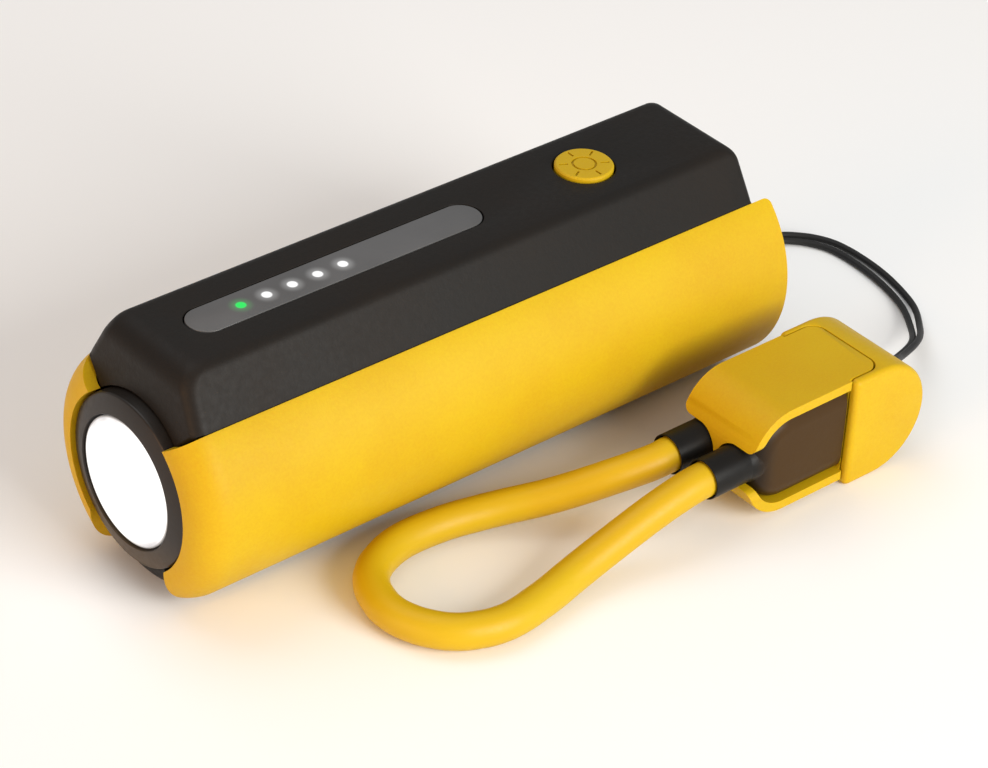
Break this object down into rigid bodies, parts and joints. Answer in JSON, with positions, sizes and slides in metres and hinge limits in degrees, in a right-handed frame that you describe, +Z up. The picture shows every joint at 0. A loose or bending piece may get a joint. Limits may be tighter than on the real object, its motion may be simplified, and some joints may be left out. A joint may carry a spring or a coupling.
{
  "type": "jump starter pack",
  "caption": "Stick-shaped jump starter pack with a front torch, charge lamps and a push button, tethered by a lanyard to a charging cable in its dock.",
  "frame": {"origin": "centre of the pack on the surface that its keel lies on, cable and lanyard left out", "axes": "+X along the pack from the torch to the sockets, +Y to its left cover, +Z up through the top rail"},
  "size_m": [0.1617, 0.069, 0.0451],
  "materials": {
    "cover_yellow": "fine-grained satin yellow moulding",
    "dock_yellow": "fine-grained satin yellow moulding",
    "button_yellow": "satin yellow moulding with an engraved sun mark",
    "housing_black": "matt black moulding",
    "rail_black": "fine-grained matt black moulding",
    "bezel_black": "satin black moulding",
    "torch_lens": "clear lens, lit white by the torch behind it",
    "reflector_chrome": "bright metallised bowl",
    "emitter_phosphor": "yellow phosphor chip, lit white",
    "board_white": "white-coated metal-core board",
    "heat_sink_aluminium": "turned, satin",
    "inner_black": "plain matt moulding",
    "window_grey": "smoked grey light window, satin",
    "lamp_green": "lit green",
    "lamp_white": "lit white",
    "component_black": "moulded electronic part",
    "board_green": "solder-masked board",
    "screw_steel": "zinc-plated",
    "cell_foil": "matt pouch foil",
    "socket_blue": "blue moulding",
    "contact_brass": "plain",
    "plug_steel": "nickel-plated sheet",
    "tongue_orange": "moulded tongue",
    "grip_black": "satin black overmould",
    "cable_yellow": "smooth satin cable jacket",
    "lanyard_black": "braided cord"
  },
  "bodies": {
    "pack": {"left_cover": "cover_yellow", "right_cover": "cover_yellow", "lower_housing": "housing_black", "top_rail": "rail_black", "bezel": "bezel_black", "lens": "torch_lens", "reflector": "reflector_chrome", "torch_emitter": "emitter_phosphor", "torch_board": "board_white", "heat_sink": "heat_sink_aluminium", "lamp_carrier": "inner_black", "indicator_window": "window_grey", "indicator_led_1": "lamp_green", "indicator_led_2": "lamp_white", "indicator_led_3": "lamp_white", "indicator_led_4": "lamp_white", "indicator_led_5": "lamp_white", "button_switch": "component_black", "main_board": "board_green", "board_screw_1": "screw_steel", "board_screw_2": "screw_steel", "board_screw_3": "screw_steel", "board_screw_4": "screw_steel", "control_chip": "component_black", "power_inductor": "component_black", "battery_cell_1": "cell_foil", "battery_cell_2": "cell_foil", "battery_cell_3": "cell_foil", "battery_stop": "inner_black", "rear_panel": "housing_black", "panel_screw_1": "screw_steel", "panel_screw_2": "screw_steel", "panel_screw_3": "screw_steel", "panel_screw_4": "screw_steel", "jump_socket": "socket_blue", "jump_contact_positive": "contact_brass", "jump_contact_negative": "contact_brass", "usb_a_shell": "plug_steel", "usb_a_tongue": "tongue_orange", "usb_c_shell": "plug_steel", "usb_c_tongue": "component_black", "lanyard_pin": "screw_steel", "dock_cap": "dock_yellow", "lanyard_strand_1": "lanyard_black", "lanyard_strand_2": "lanyard_black"},
    "button": {"power_button": "button_yellow"},
    "cable_holder": {"dock_tray": "dock_yellow", "plug_a_grip": "grip_black", "plug_a_shell": "plug_steel", "plug_b_grip": "grip_black", "plug_b_shell": "plug_steel", "cable_loop": "cable_yellow"}
  },
  "joints": [
    {"name": "button_press", "type": "slide", "parent": "pack", "child": "button", "axis": [0, 0, 1], "range_m": [-0.0008, 0], "stiffness_N_per_m": 1500, "springref_m": 0.0003},
    {"name": "holder_slide", "type": "slide", "parent": "pack", "child": "cable_holder", "axis": [-1, 0, 0], "range_m": [0, 0.014]}
  ]
}
